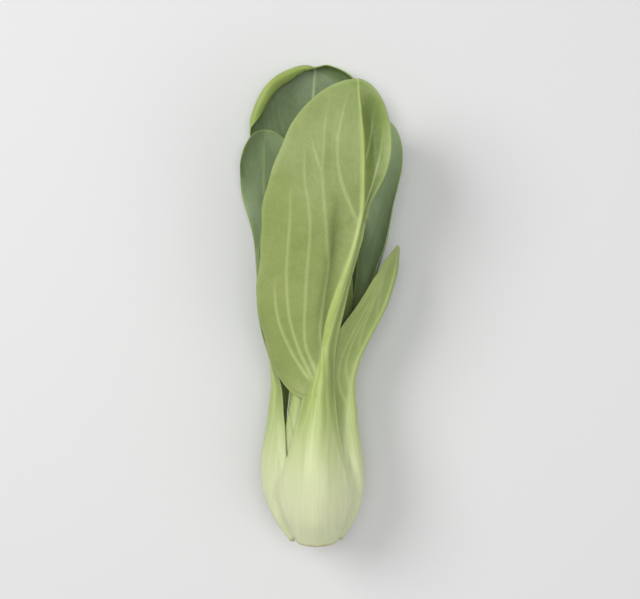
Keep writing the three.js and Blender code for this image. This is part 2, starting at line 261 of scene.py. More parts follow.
# Half width of the leaf: stalk plus blade, the blade waved by a slow and a quick sine that start elsewhere
# on each side, with a bell-shaped share of the least half width where there is next to nothing.
def halfWidth(leaf, across, along):
    start = bySide(leaf["start"], across)
    share = clamp01((along - start) / (leaf["length"] - start))
    blade = bladeOutline(leaf, across, turnAt(leaf, across, share))[1]
    side = bySide((0, 1), across)
    slow = blades["scallopDepth"] * np.sin(along / blades["scallopLength"] + side + leaf["foot"])
    quick = blades["fineDepth"] * np.sin(along / blades["fineLength"] + blades["fineShift"] * side)
    width = stalkEdge(leaf, along) + blade * (1 + slow + quick)
    least = blades["leastHalfWidth"] * leaf["scale"]
    return width + least * bell(width / least)


# Flat leaf: u from -1 to 1 across and s from 0 to 1 along give mm across and along. Rows bow towards the
# tip, so the last one is the tip's outline.
def flatLeaf(leaf, u, s):
    shoulder = mix(leaf["length"], leaf["start"][1], leaf["tipShare"])
    start = bySide(leaf["start"], u)
    endTurn = turnAt(leaf, u, (shoulder - start) / (leaf["length"] - start))
    endWidth = bladeOutline(leaf, u, endTurn)[1]
    tipAlong, tipWidth = bladeOutline(leaf, u, 1 - (1 - endTurn) * u * u)
    ease = smooth(blades["bowFrom"], 1, s) ** blades["bowPower"]
    bow = (tipAlong - shoulder) / (leaf["length"] - shoulder) * ease
    row = shoulder * s
    across = np.sign(u) * tipWidth / endWidth * halfWidth(leaf, u, row)
    return across, row + (leaf["length"] - shoulder) * bow


# Angle of the midrib: an ease from the foot's to the blade's.
def centreAngle(leaf, along):
    return np.radians(mix(leaf["foot"], leaf["aim"], smooth(*blades["turning"], along)))


# Length on an oval for each radian at an angle.
def lengthPerRadian(a, b, angle):
    return np.hypot(a * np.sin(angle), b * np.cos(angle))


# Angle round the axis: the midrib's plus the distance across over the length per radian half way there.
def wrap(leaf, across, along):
    y = leaf["foothold"] + along
    a, b = layerSize(leaf["layer"], y)
    centre = centreAngle(leaf, along)
    halfWay = centre + across / 2 / lengthPerRadian(a, b, centre)
    return centre + across / lengthPerRadian(a, b, halfWay), y, a, b


# How far a place lies outside another leaf's outline, and below 0 inside it: the larger of the distances
# past its side and past its ends.
def pastEdge(leaf, angle, y):
    along = y - leaf["foothold"]
    centre = centreAngle(leaf, along)
    turn = np.arctan2(np.sin(angle - centre), np.cos(angle - centre))
    a, b = layerSize(leaf["layer"], y)
    across = np.abs(turn) * lengthPerRadian(a, b, centre + turn / 2)
    reach = halfWidth(leaf, turn, np.clip(along, 0, leaf["length"]))
    return np.maximum(across - reach, np.maximum(-along, along - leaf["length"]))


# Room outside a leaf's layer: for each leaf over this place, its share of the stack of layers less a gap,
# opening up past that leaf's edge.
def roomOutside(leaf, angle, y):
    outerA, outerB = layerSize(1, y)
    innerA, innerB = layerSize(0, y)
    stack = np.hypot((outerA - innerA) * np.cos(angle), (outerB - innerB) * np.sin(angle))
    slope = (through(head["outerWidth"], y + 1) - through(head["outerWidth"], y - 1)) / 2  # over 2 mm
    room = np.full_like(angle, covers["ample"])
    for cover in leaves:
        if cover["layer"] > leaf["layer"]:
            gap = (cover["layer"] - leaf["layer"]) * stack / np.hypot(1, slope) - covers["gap"]
            free = smooth(covers["margin"], covers["fade"], pastEdge(cover, angle, y))
            room = np.minimum(room, mix(gap, covers["ample"], free))
    return room


# How far a place bends inwards: nod by the square of the way to the tip, roll by the square of the
# nearness to the rim, trough by a half sine across the side of smaller angles.
def bend(leaf, across, along):
    half = halfWidth(leaf, across, np.minimum(along, leaf["length"]))
    tip = clamp01((along / leaf["length"] - 1) / blades["nodShare"] + 1)
    rim = clamp01(1 - (half - np.abs(across)) / blades["rimWidth"])
    bowl = np.where(across < 0, np.sin(np.pi * clamp01(-across / np.maximum(half, tiny))), 0)
    hollow = bowl * smooth(*blades["hollowWidths"], half)
    start = leaf["start"][0]
    nod = leaf["nod"] * tip ** 2
    roll = leaf["roll"] * rim ** 2 * smooth(*blades["roll"], along / leaf["length"])
    return nod + roll + leaf["trough"] * hollow * smooth(start, start + blades["hollowRise"], along)


# Smooth inner face in space: the flat leaf wrapped on its layer, bent inwards, on the rising axis, with
# the slow sine waves upwards and sideways.
def layerPoint(leaf, across, along):
    angle, y, a, b = wrap(leaf, across, along)
    inwards = bend(leaf, across, along) / np.hypot(b * np.cos(angle), a * np.sin(angle))
    x = np.cos(angle) * (a - inwards * b)
    z = np.sin(angle) * (b - inwards * a)
    wave = smooth(*head["waves"], y)
    swell, rimWave, sway = head["swell"], head["rimWave"], head["sway"]
    upwards = (swell["height"] * np.sin(y / swell["alongY"] + x / swell["alongX"] + swell["shift"])
               + rimWave["height"] * (x / rimWave["full"]) ** 2
               * np.sin(y / rimWave["alongY"] + x / rimWave["alongX"]))
    sideways = sway["width"] * np.sin(y / sway["alongY"] + z / sway["alongZ"])
    return np.stack([x + wave * sideways, y, through(head["axisHeight"], y) + z + wave * upwards], -1)


# Outward normal of the smooth face, from small steps both ways.
def layerNormal(leaf, across, along):
    step = 0.2
    aside = layerPoint(leaf, across + step, along) - layerPoint(leaf, across - step, along)
    ahead = layerPoint(leaf, across, along + step) - layerPoint(leaf, across, along - step)
    return unit(np.cross(ahead, aside))


# Points of the outline that are looked up, step for its slant, and how near the midrib the way to it turns
# straight ahead.
margins = dict(points=300, step=0.5, straight=7)


# Distance to the outline: that across, shortened where the outline slants out, and that along, joined as
# the height of a right-angled triangle. Also gives the shares across and along of the way there, straight
# ahead on the midrib.
def toMargin(leaf, across, along):
    turn = np.linspace(0, 1, margins["points"])
    fullest = 1 + blades["scallopDepth"] + blades["fineDepth"]
    ahead = np.zeros_like(across)
    for side in (-1, 1):
        at, width = bladeOutline(leaf, np.full_like(turn, side), turn)
        width = width * fullest + stalkEdge(leaf, at)
        top = int(width.argmax())
        end = np.interp(np.abs(across), width[top:][::-1], at[top:][::-1])
        ahead = np.where(across * side >= 0, end - along, ahead)
    row = np.minimum(along, leaf["length"])
    step = margins["step"]
    slant = np.maximum(halfWidth(leaf, across, row + step) - halfWidth(leaf, across, row - step), 0)
    aside = np.maximum(halfWidth(leaf, across, row) - np.abs(across), 0) / np.hypot(1, slant / (2 * step))
    ahead = np.maximum(ahead, 0)
    span = np.maximum(np.hypot(aside, ahead), tiny)
    shareAcross = np.sign(across) * ahead / span * smooth(0, margins["straight"], np.abs(across))
    return aside * ahead / span, shareAcross, np.sqrt(1 - shareAcross ** 2)


# Curled rim: the sheet runs on flat, then round a small cylinder, by an angle that grows along the leaf
# and is less on the far side. It never passes the outline. Gives the place on the smooth leaf under each
# point and how far inwards the point stands from it.
def curlOver(leaf, across, along, margin, shareAcross, shareAlong):
    curl = leaf.get("curl")
    if curl is None:
        return across, along, np.zeros_like(across)
    band, radius = curl["band"], curl["radius"]
    strength = smooth(curl["first"], curl["full"], along)
    fullTurn = curl["turn"] * (strength * mix(curl["far"], 1, smooth(*curl["fading"], across)))
    sunk = radius * np.sin(np.minimum(fullTurn, np.pi / 2))
    run = np.maximum(1 - margin / band, 0) * (band - sunk + radius * fullTurn)
    turn = np.maximum(run - (band - sunk), 0) / radius
    reached = np.where(turn > 0, sunk - radius * np.sin(turn), band - run)
    back = np.where(margin < band, reached - margin, 0)
    return across - shareAcross * back, along - shareAlong * back, radius * (1 - np.cos(turn))


# Side veins start from before the stalk's end to last of the leaf, crowded by a power, late by a share of
# their spacing, more so on the second side, give or take loose, and end at reach of the leaf or at held
# of the half width.
spacing = dict(stations=9, before=10, last=0.82, crowding=1.1, late=0.15, later=0.3, loose=0.12, reach=0.97,
               near=(0.26, 0.36), rate=8, far=(0.5, 0.6), power=1.3, held=0.94, shortest=20)

# Their line: half widths at start and tip, share of these in the innermost leaf, share of it left at the
# tip, lengths over which it sets in and fades, and shares of the midrib's half width where it shows.
# swell: width of the swelling over it, and distances from the midrib and half widths of the leaf where
# this sets in. strand: place in the midrib's half width, width and ends of the lines beside its middle.
veins = dict(width=(0.5, 0.38), heartWidth=0.7, faint=0.4, setIn=5, fadeOut=14, beside=(0.3, 1),
             swellWidth=2.4, swellFrom=(0.6, 3.5), swellWidths=(5, 13),
             strand=0.62, strandWidth=0.3, strandStart=(30, 60), strandEnd=(0.6, 0.8))


# Side veins spaced along the midrib. Each lies at a share of the half width that climbs by near, as an
# exponential over rate mm, and by far, as a power of the way to the tip.
def spacedVeins(leaf, side, count):
    rng = np.random.default_rng(leaf["seed"] * 2 + (side > 0))
    late = spacing["late"] + spacing["later"] * (side > 0)
    first, last = leaf["stalk"] - spacing["before"], leaf["length"] * spacing["last"]
    lines = []
    for k in range(count):
        step = k + late + rng.uniform(-spacing["loose"], spacing["loose"])
        begin = mix(first, last, (step / count) ** spacing["crowding"])
        way = np.linspace(0, spacing["reach"], spacing["stations"])
        past = way * (leaf["length"] - begin)
        near, far = rng.uniform(*spacing["near"]), rng.uniform(*spacing["far"])
        share = near * (1 - np.exp(-past / spacing["rate"])) + far * way ** spacing["power"]
        centre = share * halfWidth(leaf, np.full_like(past, side), begin + past)
        line = np.stack([begin + past, centre], -1)[share < spacing["held"]]
        if line[-1][0] > begin + spacing["shortest"]:
            lines.append(line)
    return lines


# Side veins and the midrib's strands: a narrow line and a wide swelling by bell curves of the distance,
# 0 to 1. The distance across is shortened where a vein leans.
def sideVeins(leaf, across, along):
    line = np.zeros_like(across)
    swell = np.zeros_like(across)
    half = halfWidth(leaf, across, np.minimum(along, leaf["length"]))
    ribHalf = leaf["scale"] * through(stalks["ribWidths"], station(leaf, along))
    lineWidth = mix(veins["heartWidth"], 1, leaf["layer"])
    for side, given in zip((-1, 1), leaf["laterals"]):
        for stations in spacedVeins(leaf, side, given) if isinstance(given, int) else given:
            begin, end = stations[0][0], stations[-1][0]
            centre = through(stations, along)
            lean = np.gradient(centre, axis=0) / np.maximum(np.gradient(along, axis=0), tiny)
            distance = np.abs(across * side - centre) / np.hypot(1, lean)
            way = clamp01((along - begin) / (leaf["length"] - begin))
            thin = mix(*veins["width"], way) * lineWidth
            fade = smooth(begin, begin + veins["setIn"], along)
            fade = fade * (1 - smooth(end - veins["fadeOut"], end, along)) * (across * side > 0)
            line = np.maximum(line, bell(distance / thin) * fade * mix(1, veins["faint"], way))
            swell = np.maximum(swell, bell(distance / veins["swellWidth"]) * fade)
    line = line * smooth(*veins["beside"], np.abs(across) / ribHalf)
    swell = swell * (smooth(*veins["swellFrom"], np.abs(across)) * smooth(*veins["swellWidths"], half))
    strands = bell((np.abs(across) - veins["strand"] * ribHalf) / veins["strandWidth"])
    strands = strands * smooth(*veins["strandStart"], along)
    return line, swell, strands * (1 - smooth(*veins["strandEnd"], along / leaf["length"]))


# Relief of the sheets in mm. quiltNoise, dimpleNoise, fluteNoise: size across and along, and what is added
# to the leaf's seed. wave: in a band at the rim, turning by a radian over waveAlong. flute: ridges along
# the stalk. vein, core: thickness added by side veins and, over a share of its width, by the midrib.
# slack: how far these may use up the gap kept to a covering leaf. tipFade, foldEnds: lengths over which
# the back ends and a furrow sets in and fades. rimBand, bulge: where the rim thins, and how far it rounds
# out, in thicknesses.
relief = dict(overVeins=0.14, quilt=0.35, quiltNoise=(5, 7, 0), dimple=0.11, dimpleNoise=(2.1, 2.8, 50),
              noiseShift=20, wave=1.1, waveBand=9, waveFrom=6, waveAlong=5.5, waveAcross=7, flute=0.3,
              fluteNoise=(1.3, 60, 90), fluteFrom=(2, 12), vein=0.12, core=0.5, coreWidth=0.6, slack=0.2,
              tipFade=12, foldEnds=(14, 26), rimBand=2.5, bulge=0.4)

# Grid of a sheet: share of even spacing in its columns, which crowd to the rims, and the power by which its
# rows crowd to the tip. Its masks: shares of the midrib's half width where it ends, stations where the
# blade starts and how much sooner off the midrib, width of the rim's painted highlight, shares of the length
# where the tip starts, and length of the cut foot.
sheet = dict(even=0.55, crowding=1.25, ribEdge=(0.55, 1.2), blade=(48, 70), bladeSlant=0.8, rim=1.6,
             tip=(0.35, 0.75), cut=1.5)


# Leaf as two grids, inner and outer face, in mm, with the masks that its material reads.
def leafSurface(leaf):
    columns, rows = leaf["grid"]
    k = np.linspace(-1, 1, columns + 1)
    u, s = np.meshgrid(mix(np.sin(k * np.pi / 2), k, sheet["even"]),
                       1 - np.linspace(1, 0, rows + 1) ** sheet["crowding"])
    across, along = flatLeaf(leaf, u, s)
    margin, shareAcross, shareAlong = toMargin(leaf, across, along)
    line, swell, strands = sideVeins(leaf, across, along)
    at = station(leaf, along)
    ribWidth = leaf["scale"] * through(stalks["ribWidths"], at)
    offMidrib = np.abs(across)
    rib = 1 - smooth(*sheet["ribEdge"], offMidrib / ribWidth)
    blade = smooth(*sheet["blade"], at + offMidrib * sheet["bladeSlant"])

    # The whole sheet lifts outwards over veins, in quilting and in waves at the rim.
    def grain(wide, long, seed):
        return noise(across / wide + relief["noiseShift"], along / long, leaf["seed"] + seed)

    waving = np.sin(along / relief["waveAlong"] + offMidrib / relief["waveAcross"] + leaf["seed"])
    waving = (1 + waving) / 2 * clamp01(1 - margin / relief["waveBand"]) ** 2
    waving = waving * smooth(0, relief["waveFrom"], offMidrib)
    quilt = relief["quilt"] * grain(*relief["quiltNoise"]) + relief["dimple"] * grain(*relief["dimpleNoise"])
    flutes = grain(*relief["fluteNoise"]) * (1 - blade) * smooth(*relief["fluteFrom"], along)
    lift = blade * (relief["overVeins"] * swell + quilt + relief["wave"] * waving)

    # Thickness: a stalk edge that thins to the blade, plus a bell-shaped back, thinner at the very rim.
    edge = mix(stalks["edge"], blades["thickness"], smooth(*stalks["thinning"], at))
    spread = leaf["scale"] * through(stalks["backWidths"], at)
    beforeTip = smooth(0, relief["tipFade"], leaf["length"] - along)
    back = leaf["scale"] * through(stalks["backHeights"], at) * bell(across / spread) * beforeTip
    angle, y, _, _ = wrap(leaf, across, along)
    room = roomOutside(leaf, angle, y)
    thick = np.maximum(blades["least"], np.minimum(edge + back, room))
    thick = thick * mix(blades["rimThickness"], 1, smooth(0, relief["rimBand"], margin))
    thick = thick + blade * relief["vein"] * line
    core = relief["core"] * leaf["scale"] * bell(across / (relief["coreWidth"] * ribWidth))
    core = core * blade * beforeTip
    most = np.maximum(room + relief["slack"], thick)
    thick = np.minimum(thick + core + relief["flute"] * flutes, most)
    lift = np.clip(lift, 0, most - thick)

    # Furrows: bell-shaped across, sunk inwards, their depth kept as a mask for painted shade.
    hollow = np.zeros_like(across)
    setIn, fadeOut = relief["foldEnds"]
    for fold in leaf.get("folds", ()):
        first, last = fold["ends"]
        length = smooth(first, first + setIn, along) * (1 - smooth(last - fadeOut, last, along))
        sunk = bell((across - through(fold["line"], along)) / fold["width"]) * length
        lift -= fold["depth"] * sunk
        hollow = np.maximum(hollow, sunk)

    # Both faces, kept above the floor.
    underAcross, underAlong, inwards = curlOver(leaf, across, along, margin, shareAcross, shareAlong)
    lifted = (lift - inwards)[..., None] * layerNormal(leaf, underAcross, underAlong)
    inner = layerPoint(leaf, underAcross, underAlong) + lifted
    inner[..., 2] = np.maximum(inner[..., 2], blades["thickness"])
    normal = unit(np.cross(np.gradient(inner, axis=0), np.gradient(inner, axis=1)))
    outer = inner + normal * thick[..., None]
    outer[..., 2] = np.maximum(outer[..., 2], 0)
    # The rim mask is where a highlight is painted along the margin.
    masks = dict(vein=line * blade, strand=strands, hollow=hollow, rib=rib, blade=blade,
                 rim=1 - smooth(0, sheet["rim"], margin), tip=smooth(*sheet["tip"], along / leaf["length"]),
                 cut=1 - smooth(0, sheet["cut"], along))
    return inner, outer, across, along, masks


# Closed shell: quads of both grids and a rounded strip round their rim. Also gives the points of the rim
# and their neighbours one step in.
def shellFaces(rows, columns):
    n = (rows + 1) * (columns + 1)
    grid = np.arange(n).reshape(rows + 1, columns + 1)
    quads = np.stack([grid[:-1, :-1], grid[:-1, 1:], grid[1:, 1:], grid[1:, :-1]], -1).reshape(-1, 4)
    ring = np.concatenate([grid[0, :-1], grid[:-1, -1], grid[-1, :0:-1], grid[:0:-1, 0]])
    nearer = np.concatenate([grid[1, :-1], grid[:-1, -2], grid[-2, :0:-1], grid[:0:-1, 1]])
    following = np.roll(ring, -1)
    middle = 2 * n + np.arange(len(ring))
    nextMiddle = np.roll(middle, -1)
    strips = [np.stack([following, ring, middle, nextMiddle], -1),
              np.stack([nextMiddle, middle, ring + n, following + n], -1)]
    return np.concatenate([quads, quads[:, ::-1] + n] + strips), ring, nearer


# One row of 32-bit numbers, which foreach_set takes.
def flat32(values):
    return np.ascontiguousarray(values, np.float32).ravel()


# Smooth-shaded mesh of points in metres and faces as lists of point numbers.
def meshFrom(name, points, faces):
    mesh = bpy.data.meshes.new(name)
    mesh.from_pydata(points.tolist(), [], faces)
    mesh.polygons.foreach_set("use_smooth", np.ones(len(faces), bool))
    mesh.validate()
    return mesh


# One number for each point, which the materials read.
def addMask(mesh, name, values):
    mesh.attributes.new(name, "FLOAT", "POINT").data.foreach_set("value", flat32(values))


planSize = 200  # mm of leaf that the plan, a UV map, covers each way, the midrib in its middle


# UV map: mm across and along, by the size of the plan.
def addPlan(mesh, across, along, faces):
    places = np.stack([across / planSize + 0.5, along / planSize], -1)
    mesh.uv_layers.new(name="plan").data.foreach_set("uv", flat32(places[faces.ravel()]))


# From the head's own mm to metres in the part's frame.
def toFrame(points):
    return (points + np.array([headX, headY, 0])) * mm


# Object at the origin.
def newObject(name, data):
    thing = bpy.data.objects.new(name, data)
    bpy.context.scene.collection.objects.link(thing)
    return thing


# Object that rides root and stands in for a CAD node.
def addPiece(name, mesh, material, node):
    piece = newObject(name, mesh)
    mesh.materials.append(material)
    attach(piece, "root")
    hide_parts(node)
    print("%s: %d faces" % (node, len(mesh.polygons)))


# Both grids, and between their rims a line of points pushed out by a share of the thickness there.
def addLeaf(leaf, material):
    inner, outer, across, along, masks = leafSurface(leaf)
    faces, ring, nearer = shellFaces(across.shape[0] - 1, across.shape[1] - 1)
    points = np.concatenate([inner.reshape(-1, 3), outer.reshape(-1, 3)])
    n = across.size
    middle = (points[ring] + points[ring + n]) / 2
    tangent = unit(np.roll(middle, -1, 0) - np.roll(middle, 1, 0))
    outwards = middle - (points[nearer] + points[nearer + n]) / 2
    outwards = unit(outwards - tangent * (outwards * tangent).sum(-1, keepdims=True))
    thickness = np.linalg.norm(points[ring] - points[ring + n], axis=-1, keepdims=True)
    middle += outwards * thickness * relief["bulge"]
    middle[:, 2] = np.maximum(middle[:, 2], 0)
    mesh = meshFrom(leaf["name"], toFrame(np.concatenate([points, middle])), faces.tolist())

    def everywhere(values):
        flat = values.ravel()
        return np.concatenate([flat, flat, flat[ring]])

    for name, values in masks.items():
        addMask(mesh, name, everywhere(values))
    addMask(mesh, "inside", np.concatenate([np.ones(n), np.zeros(n), np.full(len(ring), 0.5)]))
    addPlan(mesh, everywhere(across), everywhere(along), faces)
    addPiece(leaf["name"] + "_skin", mesh, material, leaf["name"])


# Linear colour of a six-figure sRGB one, by the standard's formula.
def tint(code):
    rgb = np.array([int(code[i:i + 2], 16) for i in (0, 2, 4)]) / 255
    linear = np.where(rgb <= 0.04045, rgb / 12.92, ((rgb + 0.055) / 1.055) ** 2.4)
    return (*linear, 1)


# Look with its colours made linear.
def tinted(look):
    return {key: tint(value) if isinstance(value, str) else value for key, value in look.items()}


class Nodes:
    # Short ways to add nodes to one tree and link them.
    def __init__(self, tree):
        self.tree = tree

    def feed(self, socket, value):
        if isinstance(value, bpy.types.NodeSocket):
            self.tree.links.new(value, socket)
        else:
            socket.default_value = value

    # Node with its settings, then its inputs by name or number.
    def add(self, kind, inputs=None, **settings):
        node = self.tree.nodes.new(kind)
        for key, value in settings.items():
            setattr(node, key, value)
        for key, value in (inputs or {}).items():
            self.feed(node.inputs[key], value)
        return node

    def sums(self, operation, *values):
        return self.add("ShaderNodeMath", dict(enumerate(values)), operation=operation).outputs[0]

    def times(self, a, b):
        return self.sums("MULTIPLY", a, b)

    def timesPlus(self, a, b, c):
        return self.sums("MULTIPLY_ADD", a, b, c)

    def rest(self, a):
        return self.sums("SUBTRACT", 1.0, a)

    def vector(self, operation, *values):
        return self.add("ShaderNodeVectorMath", dict(enumerate(values)), operation=operation).outputs[0]

    def blend(self, amount, a, b):
        return self.add("ShaderNodeMix", {"Factor": amount, 6: a, 7: b}, data_type="RGBA").outputs[2]

    def ramp(self, *values):
        inputs = dict(enumerate(values))
        return self.add("ShaderNodeMapRange", inputs, interpolation_type="SMOOTHSTEP").outputs[0]

    def noise(self, place, scale, detail=2.0, rough=0.5):
        inputs = dict(Vector=place, Scale=scale, Detail=detail, Roughness=rough)
        return self.add("ShaderNodeTexNoise", inputs)

    def mask(self, name):
        return self.add("ShaderNodeAttribute", attribute_name=name).outputs["Fac"]

    def millimetres(self):
        return self.vector("MULTIPLY", self.add("ShaderNodeTexCoord").outputs["Object"], (1 / mm,) * 3)

    def bump(self, height, strength, distance):
        inputs = dict(Strength=strength, Distance=distance, Height=height)
        return self.add("ShaderNodeBump", inputs).outputs["Normal"]

    def use(self, tree, **values):
        return self.add("ShaderNodeGroup", values, node_tree=tree).outputs

    # Links and uniform values on the shader's own sockets, with _ for a space.
    def shade(self, **values):
        for key, value in values.items():
            self.feed(self.tree.nodes["Principled BSDF"].inputs[key.replace("_", " ")], value)


# Shader node group that takes a place and one size in mm. Gives its helper and its two ends.
def newGroup(name, sizeName, outputs):
    tree = bpy.data.node_groups.new(name, "ShaderNodeTree")
    tree.interface.new_socket(name="Place", in_out="INPUT", socket_type="NodeSocketVector")
    tree.interface.new_socket(name=sizeName, in_out="INPUT", socket_type="NodeSocketFloat")
    for label in outputs:
        tree.interface.new_socket(name=label, in_out="OUTPUT", socket_type="NodeSocketFloat")
    nodes = Nodes(tree)
    return tree, nodes, nodes.add("NodeGroupInput").outputs, nodes.add("NodeGroupOutput").inputs


# Fine veins: mm and scale of the noise that pushes them about; size of the smaller cells; shares of a cell
# over which a wide and a narrow vein fade, the narrow ones' strength, and how far in a cell is puffed up.
net = dict(push=(5, 5, 0), pushScale=0.25, smaller=0.42, wide=0.09, narrow=0.12, faint=0.45, puffed=0.45)


# Fine veins as the edges of two sizes of irregular cell, the place pushed about by noise.
def makeVeinNet():
    tree, nodes, given, out = newGroup("veinNet", "Cell", ["Net", "Puff"])
    cloud = nodes.noise(given["Place"], net["pushScale"]).outputs["Color"]
    push = nodes.vector("SUBTRACT", cloud, (0.5, 0.5, 0.5))
    pushed = nodes.vector("ADD", given["Place"], nodes.vector("MULTIPLY", push, net["push"]))
    edges = []
    for share in (1.0, net["smaller"]):
        inputs = dict(Vector=pushed, Scale=nodes.sums("DIVIDE", 1 / share, given["Cell"]))
        cells = nodes.add("ShaderNodeTexVoronoi", inputs, feature="DISTANCE_TO_EDGE")
        edges.append(cells.outputs["Distance"])
    wide = nodes.ramp(edges[0], 0.0, net["wide"], 1.0, 0.0)
    narrow = nodes.ramp(edges[1], 0.0, net["narrow"], 1.0, 0.0)
    nodes.feed(out["Net"], nodes.sums("MAXIMUM", wide, nodes.times(narrow, net["faint"])))
    nodes.feed(out["Puff"], nodes.ramp(edges[0], 0.0, net["puffed"]))
    return tree


# Noise of a given size, its middle range opened out: stripes, 40 times as long as wide, and blotches.
def makePattern(name, sizeName, output, stretch, detail, rough, low, high):
    tree, nodes, given, out = newGroup(name, sizeName, [output])
    drawn = nodes.vector("MULTIPLY", given["Place"], stretch)
    texture = nodes.noise(drawn, nodes.sums("DIVIDE", 1.0, given[sizeName]), detail, rough)
    nodes.feed(out[output], nodes.ramp(texture.outputs["Fac"], low, high))
    return tree


veinNet = makeVeinNet()
stripes = makePattern("stripes", "Width", "Stripe", (1, 0.025, 1), detail=3.0, rough=0.6, low=0.3, high=0.7)
mottle = makePattern("mottle", "Size", "Patch", (1, 1, 1), detail=4.0, rough=0.55, low=0.28, high=0.72)


# Material, and short ways to add its nodes.
def newMaterial(name):
    material = bpy.data.materials.new(name)
    material.use_nodes = True
    return material, Nodes(material.node_tree)


# Leaf look: sizes of its patterns in mm; shares by which patterns and masks tint the blade, specks to veins,
# among them painted shade in the furrows and a painted highlight on the rim, and the stalk, stripes to
# strands; mm along the leaf where it starts to green; speck values between which the cut foot browns, and
# how much; roughness added by patches and stalk; parts of the bump's height.
leafLook = dict(
    patchSize=16.0, speckSize=1.6, stripeWidth=1.3, fineStripeWidth=0.5,
    specks=0.14, paintedFurrowShade=0.85, net=0.07, paintedRimHighlight=0.5, veins=0.6,
    stripes=0.5, fineStripes=0.14, upperMidrib=0.85, strands=0.6,
    stalkFrom=14.0, browned=(0.2, 0.9, 0.35, 0.95), patchRough=0.08, stalkRough=-0.1,
    puffed=0.45, ridge=0.5, fineRidge=0.4, grain=0.12, grainScale=5.0, grainDetail=3.0,
    bump=0.45, height=0.22 * mm,
    shader=dict(Subsurface_Weight=0.15, Subsurface_Radius=(0.5, 1.0, 0.25), Subsurface_Scale=1.2 * mm,
                Specular_IOR_Level=0.42),
)


# Blade's and stalk's colours, joined by the masks of midrib and blade, and their relief.
def makeLeafMaterial(name, skin):
    material, nodes = newMaterial(name)
    look = tinted(dict(leafLook, **skin))
    plan = nodes.add("ShaderNodeUVMap", uv_map="plan").outputs["UV"]
    place = nodes.vector("MULTIPLY", plan, (planSize,) * 3)
    space = nodes.millimetres()
    fineVeins = nodes.use(veinNet, Place=place, Cell=look["cell"])
    patch = nodes.use(mottle, Place=space, Size=look["patchSize"])["Patch"]
    speck = nodes.use(mottle, Place=space, Size=look["speckSize"])["Patch"]
    stripe = nodes.use(stripes, Place=place, Width=look["stripeWidth"])["Stripe"]
    fineStripe = nodes.use(stripes, Place=place, Width=look["fineStripeWidth"])["Stripe"]
    inside, vein, rib, blade = map(nodes.mask, ("inside", "vein", "rib", "blade"))
    rim, tip, cut, strand, hollow = map(nodes.mask, ("rim", "tip", "cut", "strand", "hollow"))

    def stain(amount, share, under, over):
        return nodes.blend(nodes.times(amount, look[share]), under, over)

    # Blade: its two faces, blotched, with paler veins and a painted highlight along the rim.
    underFace = nodes.blend(patch, look["under"], look["underDeep"])
    upperFace = nodes.blend(patch, look["upper"], look["upperDeep"])
    green = nodes.blend(inside, underFace, upperFace)
    green = stain(speck, "specks", green, look["underDeep"])
    # Painted shade: the furrows darkened towards a deeper green.
    green = stain(hollow, "paintedFurrowShade", green, look["hollow"])
    lines = nodes.blend(inside, look["veinUnder"], look["veinUpper"])
    green = stain(fineVeins["Net"], "net", green, lines)
    # Painted highlight: a thin paler line along the rim.
    green = stain(rim, "paintedRimHighlight", green, look["rim"])
    green = stain(vein, "veins", green, lines)

    # Stalk: pale, greener towards the blade, striped along its length. On the upper face the midrib
    # greens again towards the tip.
    along = nodes.add("ShaderNodeSeparateXYZ", dict(Vector=place))
    rise = nodes.ramp(along.outputs["Y"], look["stalkFrom"], look["stalkEnd"])
    stalk = nodes.blend(rise, look["stalkFoot"], look["stalkTop"])
    stalk = stain(nodes.times(stripe, rise), "stripes", stalk, look["stalkStripe"])
    stalk = stain(fineStripe, "fineStripes", stalk, look["stalkStripe"])
    stalk = stain(nodes.times(inside, tip), "upperMidrib", stalk, lines)
    stalkShare = nodes.sums("MAXIMUM", rib, nodes.rest(blade))
    colour = nodes.blend(stalkShare, green, stalk)
    colour = stain(nodes.times(strand, nodes.rest(inside)), "strands", colour, lines)
    browned = nodes.times(cut, nodes.ramp(speck, *look["browned"]))
    colour = nodes.blend(browned, colour, look["cut"])
    rough = nodes.timesPlus(patch, look["patchRough"], look["rough"])
    rough = nodes.timesPlus(stalkShare, look["stalkRough"], rough)

    # Relief: cells puffed up between the fine veins, ridges along the stalk, a fine grain.
    cells = nodes.times(fineVeins["Puff"], nodes.rest(stalkShare))
    ridges = nodes.timesPlus(stripe, look["ridge"], nodes.times(fineStripe, look["fineRidge"]))
    height = nodes.timesPlus(cells, look["puffed"], nodes.times(ridges, stalkShare))
    grain = nodes.noise(space, look["grainScale"], look["grainDetail"]).outputs["Fac"]
    height = nodes.timesPlus(grain, look["grain"], height)
    normal = nodes.bump(height, look["bump"], look["height"])
    nodes.shade(Base_Color=colour, Roughness=rough, Normal=normal, **look["shader"])
    return material


# Skins: colours of both faces, veins, the rim's painted highlight, the furrows' painted shade and stalk, mm
# along the leaf where the stalk's ends, size of the net's cells, and roughness.
hiddenSkin = dict(under="8a9a5a", underDeep="7a8b4c", upper="6f8158", upperDeep="60734c", veinUnder="b9c483",
                  veinUpper="84956a", rim="97a564", hollow="627539", stalkFoot="d3d6ae", stalkTop="a4b568",
                  stalkStripe="889f54", cut="b39f6c", stalkEnd=62.0, cell=3.6, rough=0.44)
skins = {
    "leaf_front": dict(hiddenSkin, under="8b9857", underDeep="7f8f4b", stalkTop="a9ba66"),
    "leaf_back": dict(hiddenSkin, upper="687a54", upperDeep="5b6e49", under="9bad58", underDeep="8ea04e",
                      rim="93a85a"),
    "leaf_left": dict(hiddenSkin, upper="85976e", upperDeep="768a61"),
    "leaf_right_short": dict(hiddenSkin, under="98a862", underDeep="8b9c55", stalkTop="b0c072"),
    # Painted light: leaf_right's upper face is made lighter than the other leaves' to make up for the shade
    # it lies in.
    "leaf_right": dict(hiddenSkin, under="8a9f66", underDeep="7b925a", upper="93a87c", upperDeep="859a70"),
}
for leaf in leaves:
    skin = skins.get(leaf["name"], hiddenSkin)
    addLeaf(leaf, makeLeafMaterial(leaf["name"] + "_green", skin))

